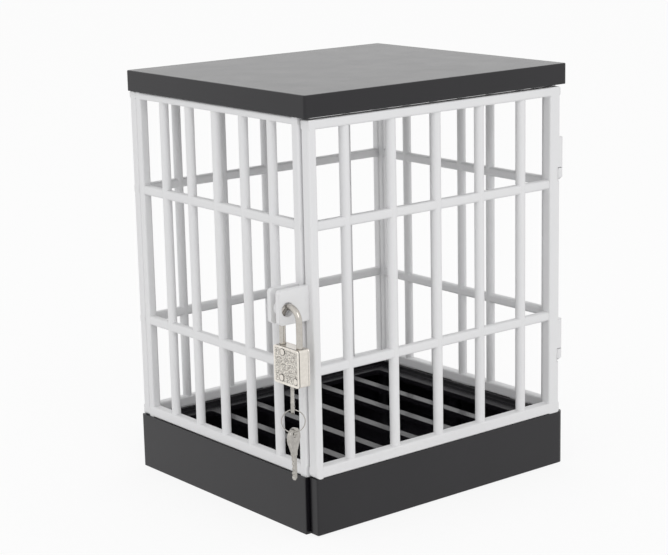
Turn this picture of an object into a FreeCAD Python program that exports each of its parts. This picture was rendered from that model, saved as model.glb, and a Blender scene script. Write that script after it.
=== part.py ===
import FreeCAD, Part
import math
import os
from FreeCAD import Vector

# A small free-standing cage with barred walls, a barred door, a hasp and a
# hanging padlock. Millimetres. X runs along the door, towards its hinges.
# Y runs into the cage. Z is up. The origin is the middle of the footprint,
# on the table.

# Overall size of the cage body
width = 147.0
depth = 129.0
height = 185.0

# Lid and base mouldings
lid_height = 9.2
base_height = 25.0
tray_wall = 2.2
tray_edge_radius = 1.0
lid_edge_radius = 0.5
seat_gap = 0.15
shoulder_gap = 0.2

# Barred wall panels
panel_inset = 0.8
panel_thickness = 4.4
panel_edge_radius = 0.9
front_stile_width = 4.4
rear_stile_width = 3.4
back_stile_width = 4.4
bottom_rail_height = 4.9
top_rail_drop = 3.4
bar_diameter = 4.1
bars_per_panel = 5
side_bar_pitch = 19.6
wide_bar_pitch = 24.9
crossbar_height = 4.2
crossbar_thickness = 3.7
crossbar_radius = 1.2
upper_crossbar_z = 131.4
lower_crossbar_z = 70.9

# Tenons that locate the panels in the floor grate
tenon_length = 13.0
tenon_thickness = 2.0
tenon_depth = 7.0
tenon_clearance = 0.2
tenon_end_inset = 12.0
barb_depth = 0.5
barb_height = 1.2

# Beads that snap the lid over the panels
bead_radius = 0.8
bead_stand_off = 0.45
bead_length = 26.0
bead_above_skirt = 3.6
bead_clearance = 0.15

# Floor grate
floor_drop = 2.0
floor_thickness = 2.4
rim_overlap = 1.3
floor_rib_pitch = 20.5
floor_rib_width = 4.6
floor_slot_count = 6
floor_slot_end_margin = 6.5
floor_slot_radius = 1.5
boss_diameter = 6.0
boss_inset = 9.0
centre_rib_thickness = 2.0

# Door
door_thickness = 5.2
door_gap = 0.7
door_left_inset = 1.8
door_right_inset = 3.6
door_top_gap = 0.9
door_floor_gap = 0.5
latch_stile_width = 3.9
hinge_stile_width = 6.0
door_rail_height = 4.9
door_top_rail_height = 4.0
door_bar_diameter = 4.3
door_corner_radius = 2.0
kick_shell = 1.8
kick_rib_count = 3
kick_end_radius = 0.6

# Hinges
hinge_inset = 3.2
knuckle_height = 13.4
ear_height = 5.4
hinge_gap = 0.4
upper_ear_z = 133.0
lower_ear_z = 49.4
ear_chamfer = 1.2
ear_clearance = 0.5
ear_web_left = 1.0
ear_web_right = 2.3
pin_radius = 1.0
pin_clearance = 0.05
pin_end_margin = 1.0

# Hasp tabs
tab_reach = 14.3
tab_thickness = 2.3
tab_height = 14.5
tab_z = 100.3
tab_corner_radius = 1.8
tab_hole_radius = 3.0
tab_hole_drop = 1.0
tab_hole_edge = 4.3
door_tab_set_back = 0.5
hasp_gap = 3.3
tab_root_depth = 1.2

# Padlock shackle
wire_radius = 1.35
leg_spacing = 11.2
shackle_drop = 4.2
toe_insertion = 5.8
heel_insertion = 10.4
release_travel = 6.2
leg_clearance = 0.1
notch_depth = 0.9
notch_margin = 0.3
heel_pin_radius = 0.6
heel_pin_clearance = 0.3

# Padlock case
case_width = 16.3
case_height = 15.8
case_thickness = 6.1
cover_thickness = 0.9
case_corner_radius = 1.2
case_below_hole = 14.9
cover_border = 0.9
cover_recess = 0.2
rivet_radius = 0.6
rivet_head_radius = 1.3
rivet_head_height = 0.4
rivet_front_offset = 5.9
rivet_rear_offset = 3.2
rivet_low_height = 2.6
rivet_high_offset = 2.35
rivet_high_drop = 2.3

# Lock plug, catch and springs
plug_radius = 1.85
plug_clearance = 0.05
plug_length = 10.4
cam_pin_radius = 0.45
cam_eccentricity = 1.2
cam_half_turn = 20.0
key_rest_turn = 40.0
catch_height = 1.4
catch_side_gap = 0.3
catch_nose_width = 2.0
catch_rear_reach = 2.2
catch_room = 1.6
cam_slot_clearance = 0.1
catch_above_toe = 1.0
spring_wire = 0.15
shackle_spring_radius = 0.95
shackle_spring_turns = 4
shackle_spring_length = 2.0
catch_spring_radius = 0.55
catch_spring_turns = 2

# Keys and ring
key_thickness = 1.0
key_bow_thickness = 1.4
key_bow_radius = 4.1
key_neck_half_width = 1.5
key_blade_half_width = 1.2
key_length = 22.4
key_shoulder = 11.9
key_hole_radius = 1.5
key_hole_from_end = 2.5
key_reach_in_case = 9.7
keyway_clearance = 0.1
key_cut_start = 1.6
key_tip_length = 1.4
key_cut_count = 4
key_cut_depth = 0.6
ring_radius = 4.85
ring_wire_radius = 0.4
ring_clearance = 0.37
spare_clearance = 0.6
spare_key_turn = -30.0

# Places worked out from the sizes above
half_width = width / 2
half_depth = depth / 2
wall_outer_x = half_width - panel_inset
wall_inner_x = wall_outer_x - panel_thickness
back_outer_y = half_depth - panel_inset
back_inner_y = back_outer_y - panel_thickness
door_front_y = -half_depth
door_back_y = door_front_y + door_thickness
cage_front_y = door_back_y + door_gap
skirt_inner_x = half_width - tray_wall
skirt_inner_y = half_depth - tray_wall
tongue_outer_x = skirt_inner_x - seat_gap
tongue_outer_y = skirt_inner_y - seat_gap
lid_underside_z = height - tray_wall
skirt_bottom_z = height - lid_height
bead_z = skirt_bottom_z + bead_above_skirt
shoulder_z = skirt_bottom_z - shoulder_gap
window_top_z = skirt_bottom_z - top_rail_drop
floor_top_z = base_height - floor_drop
floor_bottom_z = floor_top_z - floor_thickness
rim_inner_x = wall_inner_x - rim_overlap
rim_inner_y = back_inner_y - rim_overlap
apron_inner_y = cage_front_y + tray_wall
door_left_x = -half_width + door_left_inset
door_right_x = half_width - door_right_inset
door_top_z = skirt_bottom_z - door_top_gap
hinge_x = half_width - hinge_inset
hinge_y = (door_front_y + door_back_y) / 2
knuckle_radius = door_thickness / 2
door_tab_back_y = door_back_y - door_tab_set_back
door_tab_front_y = door_tab_back_y - tab_thickness
wall_tab_front_y = door_tab_back_y + hasp_gap
wall_tab_back_y = wall_tab_front_y + tab_thickness
tab_tip_x = -wall_outer_x - tab_reach
tab_hole_x = tab_tip_x + tab_hole_edge
tab_hole_z = tab_z - tab_hole_drop
toe_y = (door_tab_back_y + wall_tab_front_y) / 2
lock_y = toe_y - leg_spacing / 2
heel_y = toe_y - leg_spacing
lock_x = tab_hole_x
arch_z = tab_hole_z - shackle_drop
case_top_z = tab_hole_z - case_below_hole
case_bottom_z = case_top_z - case_height
toe_end_z = case_top_z - toe_insertion
heel_end_z = case_top_z - heel_insertion
core_half = case_thickness / 2 - cover_thickness
plug_top_z = case_bottom_z + plug_length
catch_z = toe_end_z + catch_above_toe
leg_hole_radius = wire_radius + leg_clearance
heel_pin_z = case_top_z - heel_pin_radius - 1.7
heel_pin_y = heel_y + wire_radius + 0.1
heel_hole_bottom_z = heel_end_z - shackle_spring_length
key_bow_z = case_bottom_z + key_reach_in_case - key_length
ring_hole_z = key_bow_z + key_hole_from_end
ring_top_z = ring_hole_z - key_hole_radius + ring_wire_radius + ring_clearance
ring_z = ring_top_z - ring_radius
ring_low_z = ring_z - ring_radius
spare_hole_z = ring_low_z + ring_wire_radius + spare_clearance - key_hole_radius
spare_bow_z = spare_hole_z + key_hole_from_end


# Shape helpers
def box(x0, x1, y0, y1, z0, z1):
    """Plain box between two corners."""
    return Part.makeBox(x1 - x0, y1 - y0, z1 - z0, Vector(x0, y0, z0))


def on_axis(axis, u, v, w):
    """Point with w along the named axis and u, v along the other two in order."""
    if axis == "x":
        return Vector(w, u, v)
    if axis == "y":
        return Vector(u, w, v)
    return Vector(u, v, w)


def rounded_outline(axis, u0, u1, v0, v1, radii, w):
    """Closed wire of a rectangle whose four corners have the given radii."""
    corners = [(u0, v0, 1, 1), (u1, v0, -1, 1), (u1, v1, -1, -1), (u0, v1, 1, -1)]
    rounds = []
    for (u, v, du, dv), r in zip(corners, radii):
        cu = u + du * r
        cv = v + dv * r
        k = r * math.sqrt(0.5)
        along_u = (cu, v)
        along_v = (u, cv)
        middle = (cu - du * k, cv - dv * k)
        first, last = (along_v, along_u) if du * dv > 0 else (along_u, along_v)
        rounds.append((first, middle, last, r))
    edges = []
    for i, (first, middle, last, r) in enumerate(rounds):
        if r > 0:
            points = [on_axis(axis, p[0], p[1], w) for p in (first, middle, last)]
            edges.append(Part.Arc(*points).toShape())
        following = rounds[(i + 1) % 4][0]
        edges.append(Part.makeLine(on_axis(axis, *last, w), on_axis(axis, *following, w)))
    return Part.Wire(edges)


def slab(axis, u0, u1, v0, v1, w0, w1, radii):
    """Rounded rectangle extruded along the named axis from w0 to w1."""
    if not isinstance(radii, (list, tuple)):
        radii = [radii] * 4
    face = Part.Face(rounded_outline(axis, u0, u1, v0, v1, radii, w0))
    return face.extrude(on_axis(axis, 0, 0, w1 - w0))


def rod(axis, u, v, w0, w1, radius):
    """Cylinder along the named axis."""
    return Part.makeCylinder(radius, w1 - w0, on_axis(axis, u, v, w0), on_axis(axis, 0, 0, 1))


def turned(shape, degrees, x, y):
    """Copy of a shape turned about the upright line through x, y."""
    copy = shape.copy()
    copy.rotate(Vector(x, y, 0), Vector(0, 0, 1), degrees)
    return copy


def joined(shapes):
    """One solid from touching or crossing shapes."""
    return shapes[0].multiFuse(shapes[1:]).removeSplitter()


def save(shape, name):
    """Check the solid and write its file."""
    if not shape.isValid():
        raise ValueError(name + " is not a valid solid")
    solids = len(shape.Solids)
    print(f"{name:20s} solids {solids:2d} volume {shape.Volume:10.2f}")
    shape.exportStep(f"parts/{name}.step")


# Barred panels
def bar_places(count, pitch, centre):
    """Middles of evenly pitched bars about a centre."""
    return [centre + (i - (count - 1) / 2) * pitch for i in range(count)]


def barred_frame(axis, ends, faces, heights, stiles, rails, bar_size, pitch, corner_radii):
    """Frame of two stiles and two rails with upright bars and two crossbars.

    axis names the direction that the panel runs along; the other level
    direction is its thickness.
    """
    start, stop = ends
    near, far = faces
    low, high = heights
    middle = (near + far) / 2

    def upright(a0, a1):
        u0, u1, v0, v1 = (a0, a1, near, far) if axis == "x" else (near, far, a0, a1)
        return slab("z", u0, u1, v0, v1, low, high, panel_edge_radius)

    def level(z0, z1, half, radius):
        return slab(axis, middle - half, middle + half, z0, z1, start, stop, radius)

    half_thickness = (far - near) / 2
    pieces = [upright(start, start + stiles[0]), upright(stop - stiles[1], stop)]
    pieces.append(level(low, low + rails[0], half_thickness, panel_edge_radius))
    pieces.append(level(high - rails[1], high, half_thickness, panel_edge_radius))
    for z in (lower_crossbar_z, upper_crossbar_z):
        half_height = crossbar_height / 2
        pieces.append(level(z - half_height, z + half_height, crossbar_thickness / 2, crossbar_radius))
    window_middle = (start + stiles[0] + stop - stiles[1]) / 2
    for place in bar_places(bars_per_panel, pitch, window_middle):
        u, v = (place, middle) if axis == "x" else (middle, place)
        pieces.append(rod("z", u, v, low + rails[0] / 2, high - rails[1] / 2, bar_size / 2))
    frame = joined(pieces)
    rounding = "y" if axis == "x" else "x"
    envelope = slab(rounding, start, stop, low, high, near, far, corner_radii)
    return frame.common(envelope)


def tenon_starts(start, stop):
    """Where the tenons begin along a panel's bottom rail."""
    last = stop - tenon_end_inset - tenon_length
    return [start + tenon_end_inset, (start + stop - tenon_length) / 2, last]


def side_tenon(y0, grow):
    """Tenon of the right-hand wall, or its slot when grown."""
    middle = (wall_inner_x + tongue_outer_x) / 2
    half = tenon_thickness / 2 + grow
    low = base_height - tenon_depth - grow
    return box(middle - half, middle + half, y0 - grow, y0 + tenon_length + grow, low, base_height + grow)


def back_tenon(x0, grow):
    """Tenon of the back wall, or its slot when grown."""
    middle = (back_inner_y + tongue_outer_y) / 2
    half = tenon_thickness / 2 + grow
    low = base_height - tenon_depth - grow
    return box(x0 - grow, x0 + tenon_length + grow, middle - half, middle + half, low, base_height + grow)


def barb(axis, face, start):
    """Wedge that catches under the grate, on the inner face of a tenon."""
    top = floor_bottom_z - tenon_clearance
    profile = [(face, top), (face - barb_depth, top), (face, top - barb_height)]
    points = [Vector(p[0], start, p[1]) for p in profile]
    if axis == "x":
        points = [Vector(start, p[0], p[1]) for p in profile]
    along = Vector(0, tenon_length, 0) if axis == "y" else Vector(tenon_length, 0, 0)
    return Part.Face(Part.makePolygon(points + points[:1])).extrude(along)


def bead(axis, face, start, grow):
    """Round bead on a tongue, or the groove for it when grown."""
    centre = face - bead_stand_off
    return rod(axis, centre, bead_z, start - grow, start + bead_length + grow, bead_radius + grow)


side_tenons = tenon_starts(cage_front_y, back_inner_y)
back_tenons = tenon_starts(-tongue_outer_x, tongue_outer_x)


def side_wall():
    """Right-hand wall without its hinge ears."""
    frame = barred_frame("y", (cage_front_y, back_inner_y), (wall_inner_x, wall_outer_x),
                         (base_height, shoulder_z), (front_stile_width, rear_stile_width),
                         (bottom_rail_height, shoulder_z - window_top_z), bar_diameter,
                         side_bar_pitch, (0, 0, 0, 0))
    pieces = [frame]
    rail_middle_z = (window_top_z + shoulder_z) / 2
    pieces.append(box(wall_inner_x + panel_edge_radius, tongue_outer_x, cage_front_y, back_inner_y,
                      rail_middle_z, lid_underside_z))
    tenon_inner_x = (wall_inner_x + tongue_outer_x - tenon_thickness) / 2
    for y0 in side_tenons:
        tenon = side_tenon(y0, 0)
        tenon = tenon.fuse(box(tenon_inner_x, tenon_inner_x + tenon_thickness, y0, y0 + tenon_length,
                               base_height, base_height + bottom_rail_height / 2))
        pieces.append(tenon)
        pieces.append(barb("y", tenon_inner_x, y0))
    pieces.append(rod("y", tongue_outer_x - bead_stand_off, bead_z, -bead_length / 2,
                      bead_length / 2, bead_radius))
    return joined(pieces)


def ear(z0):
    """Hinge ear of the right-hand wall, with its tapered foot."""
    barrel = rod("z", hinge_x, hinge_y, z0 + ear_chamfer, z0 + ear_height, knuckle_radius)
    foot = Part.makeCone(knuckle_radius - ear_chamfer, knuckle_radius, ear_chamfer,
                         Vector(hinge_x, hinge_y, z0))
    web = box(hinge_x - ear_web_left, hinge_x + ear_web_right, hinge_y,
              cage_front_y + front_stile_width / 2, z0 + ear_chamfer, z0 + ear_height)
    hole = rod("z", hinge_x, hinge_y, z0 + pin_end_margin, z0 + ear_height, pin_radius)
    return joined([barrel, foot, web]).cut(hole)


def mirrored_x(shape):
    """Left-hand copy of a right-hand shape."""
    return shape.mirror(Vector(0, 0, 0), Vector(1, 0, 0))


def right_wall():
    """Right-hand wall that carries the two hinge ears."""
    return joined([side_wall(), ear(lower_ear_z), ear(upper_ear_z)])


def back_wall():
    """Back wall, as wide as the cage, closing behind both side walls."""
    frame = barred_frame("x", (-wall_outer_x, wall_outer_x), (back_inner_y, back_outer_y),
                         (base_height, shoulder_z), (back_stile_width, back_stile_width),
                         (bottom_rail_height, shoulder_z - window_top_z), bar_diameter,
                         wide_bar_pitch, (1.5, 1.5, 0, 0))
    pieces = [frame]
    rail_middle_z = (window_top_z + shoulder_z) / 2
    pieces.append(box(-tongue_outer_x, tongue_outer_x, back_inner_y + panel_edge_radius,
                      tongue_outer_y, rail_middle_z, lid_underside_z))
    tenon_inner_y = (back_inner_y + tongue_outer_y - tenon_thickness) / 2
    for x0 in back_tenons:
        tenon = back_tenon(x0, 0)
        tenon = tenon.fuse(box(x0, x0 + tenon_length, tenon_inner_y, tenon_inner_y + tenon_thickness,
                               base_height, base_height + bottom_rail_height / 2))
        pieces.append(tenon)
        pieces.append(barb("x", tenon_inner_y, x0))
    pieces.append(rod("x", tongue_outer_y - bead_stand_off, bead_z, -bead_length / 2,
                      bead_length / 2, bead_radius))
    return joined(pieces)


# Lid and base
def lid():
    """Shallow tray, open below, with grooves for the panels' beads."""
    outer = slab("z", -half_width, half_width, -half_depth, half_depth, skirt_bottom_z, height,
                 tray_edge_radius)
    top_edges = [e for e in outer.Edges if min(v.Z for v in e.Vertexes) > height - 0.01]
    outer = outer.makeFillet(lid_edge_radius, top_edges)
    inside = slab("z", -skirt_inner_x, skirt_inner_x, -skirt_inner_y, skirt_inner_y,
                  skirt_bottom_z - 1, lid_underside_z, tray_edge_radius / 2)
    shell = outer.cut(inside)
    grow = bead_clearance
    side_groove = rod("y", tongue_outer_x - bead_stand_off, bead_z, -bead_length / 2 - grow,
                      bead_length / 2 + grow, bead_radius + grow)
    back_groove = rod("x", tongue_outer_y - bead_stand_off, bead_z, -bead_length / 2 - grow,
                      bead_length / 2 + grow, bead_radius + grow)
    return shell.cut(side_groove).cut(mirrored_x(side_groove)).cut(back_groove)


def base_tray():
    """Deep tray with a low apron behind the door and posts for the grate."""
    outer = slab("z", -half_width, half_width, cage_front_y, half_depth, 0, base_height,
                 [0.3, 0.3, tray_edge_radius, tray_edge_radius])
    inside = box(-skirt_inner_x, skirt_inner_x, apron_inner_y, skirt_inner_y, tray_wall, base_height + 1)
    sill = box(-skirt_inner_x, skirt_inner_x, cage_front_y - 1, apron_inner_y + 1, floor_top_z,
               base_height + 1)
    pieces = [outer.cut(inside).cut(sill)]
    post_x = half_width - boss_inset
    post_ys = [apron_inner_y + boss_inset, 0, skirt_inner_y - boss_inset]
    for x in (-post_x, post_x):
        for y in post_ys:
            pieces.append(rod("z", x, y, tray_wall / 2, floor_bottom_z, boss_diameter / 2))
    half = centre_rib_thickness / 2
    pieces.append(box(-half, half, apron_inner_y - 0.5, rim_inner_y, tray_wall / 2, floor_bottom_z))
    return joined(pieces)


def floor_grate():
    """Slotted floor with a raised rim that the panels stand on."""
    edge_x = tongue_outer_x
    front = apron_inner_y + seat_gap
    plate = box(-edge_x, edge_x, front, tongue_outer_y, floor_bottom_z, floor_top_z)
    rim = box(-edge_x, edge_x, front, tongue_outer_y, floor_bottom_z, base_height)
    well = box(-rim_inner_x, rim_inner_x, front - 1, rim_inner_y, floor_bottom_z - 1, base_height + 1)
    grate = joined([plate, rim.cut(well)])
    slot_width = floor_rib_pitch - floor_rib_width
    slot_front = front + floor_slot_end_margin
    slot_back = rim_inner_y - floor_slot_end_margin
    for middle in bar_places(floor_slot_count, floor_rib_pitch, 0):
        grate = grate.cut(slab("z", middle - slot_width / 2, middle + slot_width / 2, slot_front,
                               slot_back, floor_bottom_z - 1, floor_top_z + 1, floor_slot_radius))
    for y0 in side_tenons:
        pocket = side_tenon(y0, tenon_clearance)
        grate = grate.cut(pocket).cut(mirrored_x(pocket))
    for x0 in back_tenons:
        grate = grate.cut(back_tenon(x0, tenon_clearance))
    return grate


# Door
def knuckle_bottom(ear_z):
    """Underside of the door knuckle that stands over an ear."""
    return ear_z + ear_height + hinge_gap


def kick_tenons():
    """Where the door's tenons enter the kick panel."""
    return tenon_starts(door_left_x, door_right_x)


def kick_tenon(x0, grow):
    """Tenon under the door's bottom rail, or its pocket when grown."""
    middle = (door_front_y + door_back_y) / 2
    half = tenon_thickness / 2 + grow
    low = base_height - tenon_depth / 2 - grow
    return box(x0 - grow, x0 + tenon_length + grow, middle - half, middle + half, low, base_height + grow)


def door_grille():
    """Barred door leaf with its two knuckles."""
    leaf = barred_frame("x", (door_left_x, door_right_x), (door_front_y, door_back_y),
                        (base_height, door_top_z), (latch_stile_width, hinge_stile_width),
                        (door_rail_height, door_top_rail_height), door_bar_diameter, wide_bar_pitch,
                        (door_corner_radius, 0.6, 0.6, 0.6))
    pieces = [leaf]
    for ear_z in (lower_ear_z, upper_ear_z):
        z0 = knuckle_bottom(ear_z)
        pieces.append(rod("z", hinge_x, hinge_y, z0, z0 + knuckle_height, knuckle_radius))
        pieces.append(box(door_right_x - hinge_stile_width / 2, hinge_x, door_front_y, door_back_y,
                          z0, z0 + knuckle_height))
    for x0 in kick_tenons():
        middle = (door_front_y + door_back_y) / 2
        half = tenon_thickness / 2
        pieces.append(kick_tenon(x0, 0).fuse(
            box(x0, x0 + tenon_length, middle - half, middle + half, base_height,
                base_height + door_rail_height / 2)))
    door = joined(pieces)
    for ear_z in (lower_ear_z, upper_ear_z):
        z0 = knuckle_bottom(ear_z)
        door = door.cut(rod("z", hinge_x, hinge_y, ear_z - hinge_gap, z0, knuckle_radius + ear_clearance))
        door = door.cut(rod("z", hinge_x, hinge_y, z0 - 1, z0 + knuckle_height - pin_end_margin,
                            pin_radius + pin_clearance))
    return door


def door_kick_panel():
    """Panel under the door's bars, hollow behind, round at its hinge end."""
    middle_y = (door_front_y + door_back_y) / 2
    plate = slab("z", door_left_x, hinge_x, door_front_y, door_back_y, door_floor_gap, base_height,
                 [kick_end_radius, 0, 0, kick_end_radius])
    end = rod("z", hinge_x, middle_y, door_floor_gap, base_height, door_thickness / 2)
    panel = joined([plate, end])
    hollow_left = door_left_x + kick_shell
    hollow_right = hinge_x - kick_shell
    hollow_top = base_height - tenon_depth
    rib_pitch = (hollow_right - hollow_left) / (kick_rib_count + 1)
    for i in range(kick_rib_count + 1):
        x0 = hollow_left + i * rib_pitch
        x1 = x0 + rib_pitch - kick_shell
        if i == kick_rib_count:
            x1 = hollow_right
        panel = panel.cut(box(x0, x1, door_front_y + kick_shell, door_back_y + 1,
                              door_floor_gap + kick_shell, hollow_top))
    for x0 in kick_tenons():
        panel = panel.cut(kick_tenon(x0, tenon_clearance))
    return panel


def hinge_pin(ear_z):
    """Steel pin fixed in an ear and running in the knuckle above it."""
    top = knuckle_bottom(ear_z) + knuckle_height - 2 * pin_end_margin
    pin = rod("z", hinge_x, hinge_y, ear_z + pin_end_margin, top, pin_radius)
    tip = [e for e in pin.Edges if abs(e.BoundBox.ZMin - top) < 0.01 and abs(e.BoundBox.ZMax - top) < 0.01]
    return pin.makeChamfer(pin_radius / 3, tip)


# Hasp
def hasp_tab(front_y, back_y, root_x, panel):
    """Tab with a hole for the shackle, cut to meet the panel it stands on."""
    radii = [tab_corner_radius, 0, 0, tab_corner_radius]
    tab = slab("y", tab_tip_x, root_x + tab_root_depth, tab_z - tab_height / 2, tab_z + tab_height / 2,
               front_y, back_y, radii)
    hole = rod("y", tab_hole_x, tab_hole_z, front_y - 1, back_y + 1, tab_hole_radius)
    return max(tab.cut(hole).cut(panel).Solids, key=lambda s: s.Volume)


# Padlock
def shackle():
    """Bent wire with a catch notch in its toe and a long groove in its heel."""
    top_leg = [Vector(lock_x, toe_y, toe_end_z), Vector(lock_x, toe_y, arch_z)]
    crown = Vector(lock_x, lock_y, arch_z + leg_spacing / 2)
    heel = [Vector(lock_x, heel_y, arch_z), Vector(lock_x, heel_y, heel_end_z)]
    path = Part.Wire([Part.makeLine(*top_leg), Part.Arc(top_leg[1], crown, heel[0]).toShape(),
                      Part.makeLine(*heel)])
    circle = Part.makeCircle(wire_radius, top_leg[0], Vector(0, 0, 1))
    bow = path.makePipeShell([Part.Wire([circle])], True, False)
    catch_side = toe_y - wire_radius
    notch = box(lock_x - 2 * wire_radius, lock_x + 2 * wire_radius, catch_side - 1,
                catch_side + notch_depth, catch_z - notch_margin, catch_z + catch_height + notch_margin)
    reach = heel_pin_radius + heel_pin_clearance
    groove = box(lock_x - 2 * wire_radius, lock_x + 2 * wire_radius, heel_pin_y - reach, heel_y + 2 * wire_radius,
                 heel_pin_z - release_travel - reach, heel_pin_z + reach)
    return bow.cut(notch).cut(groove)


def case_core():
    """Body between the covers, bored for the shackle, plug, catch and spring."""
    half = case_width / 2
    core = slab("x", lock_y - half, lock_y + half, case_bottom_z, case_top_z, lock_x - core_half,
                lock_x + core_half, case_corner_radius)
    core = core.cut(rod("z", lock_x, toe_y, toe_end_z - leg_hole_radius / 2, case_top_z + 1, leg_hole_radius))
    core = core.cut(rod("z", lock_x, heel_y, heel_hole_bottom_z, case_top_z + 1, leg_hole_radius))
    core = core.cut(rod("z", lock_x, lock_y, case_bottom_z - 1, catch_z, plug_radius + plug_clearance))
    channel_back = lock_y - catch_rear_reach - catch_room
    core = core.cut(box(lock_x - case_thickness, lock_x + case_thickness, channel_back, toe_y - wire_radius + 0.4,
                        catch_z - catch_side_gap, catch_z + catch_height + catch_side_gap))
    core = core.cut(rod("x", heel_pin_y, heel_pin_z, lock_x - case_thickness, lock_x + case_thickness,
                        heel_pin_radius))
    for y, z in rivet_places():
        core = core.cut(rod("x", y, z, lock_x - case_thickness, lock_x + case_thickness, rivet_radius))
    return core


def rivet_places():
    """Level and upright place of each rivet through the case."""
    low = case_bottom_z + rivet_low_height
    high = case_top_z - rivet_high_drop
    return [(lock_y - rivet_front_offset, low), (lock_y + rivet_rear_offset, low),
            (lock_y + rivet_high_offset, high)]


def case_cover(side):
    """Cover plate with a raised border; side is -1 for the outer face."""
    half = case_width / 2
    x0 = lock_x + side * core_half
    x1 = lock_x + side * case_thickness / 2
    low, high = sorted((x0, x1))
    cover = slab("x", lock_y - half, lock_y + half, case_bottom_z, case_top_z, low, high,
                 case_corner_radius)
    face0, face1 = sorted((x1 - side * cover_recess, x1 + side))
    field = slab("x", lock_y - half + cover_border, lock_y + half - cover_border,
                 case_bottom_z + cover_border, case_top_z - cover_border, face0, face1,
                 case_corner_radius / 2)
    cover = cover.cut(field)
    for y, z in rivet_places():
        cover = cover.cut(rod("x", y, z, low - 1, high + 1, rivet_radius))
    return cover


def case_rivets():
    """Three rivets with low domed heads on both covers."""
    rivets = []
    sphere_radius = (rivet_head_radius ** 2 + rivet_head_height ** 2) / (2 * rivet_head_height)
    seat = case_thickness / 2 - cover_recess
    for y, z in rivet_places():
        rivet = rod("x", y, z, lock_x - seat, lock_x + seat, rivet_radius)
        for side in (-1, 1):
            centre = Vector(lock_x + side * (seat + rivet_head_height - sphere_radius), y, z)
            dome = Part.makeSphere(sphere_radius, centre)
            start, stop = sorted((lock_x + side * seat, lock_x + side * (seat + 2)))
            dome = dome.common(rod("x", y, z, start, stop, rivet_head_radius + 1))
            rivet = rivet.fuse(dome)
        rivets.append(rivet.removeSplitter())
    return Part.makeCompound(rivets)


def heel_pin():
    """Cross pin that keeps the heel in the case."""
    return rod("x", heel_pin_y, heel_pin_z, lock_x - core_half, lock_x + core_half, heel_pin_radius)


def key_blank(depth_z):
    """Flat key in the plane x = lock_x, bow end at z = 0 and tip upwards."""
    half = key_bow_thickness / 2
    bow_centre = key_bow_radius
    bow = rod("x", 0, bow_centre, -half, half, key_bow_radius)
    tangent = bow_centre + key_bow_radius * 0.55
    width_there = key_bow_radius * math.sqrt(1 - 0.55 ** 2)
    outline = [(-width_there, tangent), (-key_neck_half_width, key_shoulder - 1.5),
               (-key_neck_half_width, key_shoulder), (key_neck_half_width, key_shoulder),
               (key_neck_half_width, key_shoulder - 1.5), (width_there, tangent)]
    points = [Vector(-half, p[0], p[1]) for p in outline]
    taper = Part.Face(Part.makePolygon(points + points[:1])).extrude(Vector(2 * half, 0, 0))
    blade_half = key_thickness / 2
    w = key_blade_half_width
    profile = [(-w, key_shoulder - 0.5), (w, key_shoulder - 0.5), (w, key_length - 1.2),
               (w * 0.2, key_length), (-w, key_length - 0.8)]
    points = [Vector(-blade_half, p[0], p[1]) for p in profile]
    blade = Part.Face(Part.makePolygon(points + points[:1])).extrude(Vector(2 * blade_half, 0, 0))
    cut_span = key_length - key_shoulder - key_cut_start - key_tip_length
    for i in range(key_cut_count):
        z = key_shoulder + key_cut_start + (i + 0.5) * cut_span / key_cut_count
        depth_here = key_cut_depth * (0.6 + 0.4 * ((i * 2) % 3) / 2)
        notch = [(w + 0.1, z - depth_here - 0.35), (w + 0.1, z + depth_here + 0.35),
                 (w - depth_here, z + 0.3), (w - depth_here, z - 0.3)]
        points = [Vector(-1, p[0], p[1]) for p in notch]
        blade = blade.cut(Part.Face(Part.makePolygon(points + points[:1])).extrude(Vector(2, 0, 0)))
    hole = rod("x", 0, key_hole_from_end, -1, 1, key_hole_radius)
    key = joined([bow, taper, blade]).cut(hole)
    if depth_z < 0:
        key.rotate(Vector(0, 0, 0), Vector(1, 0, 0), 180)
    return key


def lock_plug():
    """Plug with its keyway and the cam pin that works the catch."""
    plug = rod("z", lock_x, lock_y, case_bottom_z, plug_top_z, plug_radius)
    half_thick = key_thickness / 2 + keyway_clearance
    half_wide = key_blade_half_width + keyway_clearance
    tip_z = key_bow_z + key_length + keyway_clearance
    keyway = box(lock_x - half_thick, lock_x + half_thick, lock_y - half_wide, lock_y + half_wide,
                 case_bottom_z - 1, tip_z)
    plug = plug.cut(turned(keyway, -key_rest_turn, lock_x, lock_y))
    turn = math.radians(-cam_half_turn)
    pin_x = lock_x + cam_eccentricity * math.cos(turn)
    pin_y = lock_y + cam_eccentricity * math.sin(turn)
    cam = rod("z", pin_x, pin_y, plug_top_z - 0.5, catch_z + catch_height * 0.6, cam_pin_radius)
    return joined([plug, cam])


def catch_bolt():
    """Sliding catch with a nose for the toe notch and a slot for the cam pin."""
    body_half = core_half - catch_side_gap
    nose_tip = toe_y - wire_radius - catch_side_gap
    body = box(lock_x - body_half, lock_x + body_half, lock_y - catch_rear_reach, nose_tip - 0.5,
               catch_z, catch_z + catch_height)
    nose = box(lock_x - catch_nose_width / 2, lock_x + catch_nose_width / 2, lock_y, nose_tip,
               catch_z, catch_z + catch_height)
    pin_y = lock_y + cam_eccentricity * math.sin(math.radians(-cam_half_turn))
    half = cam_pin_radius + cam_slot_clearance
    slot = box(lock_x + cam_eccentricity * math.cos(math.radians(cam_half_turn)) - half - 0.1,
               lock_x + case_thickness, pin_y - half, pin_y + half, catch_z - 1,
               catch_z + catch_height * 0.6 + 0.2)
    return joined([body, nose]).cut(slot)


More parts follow.
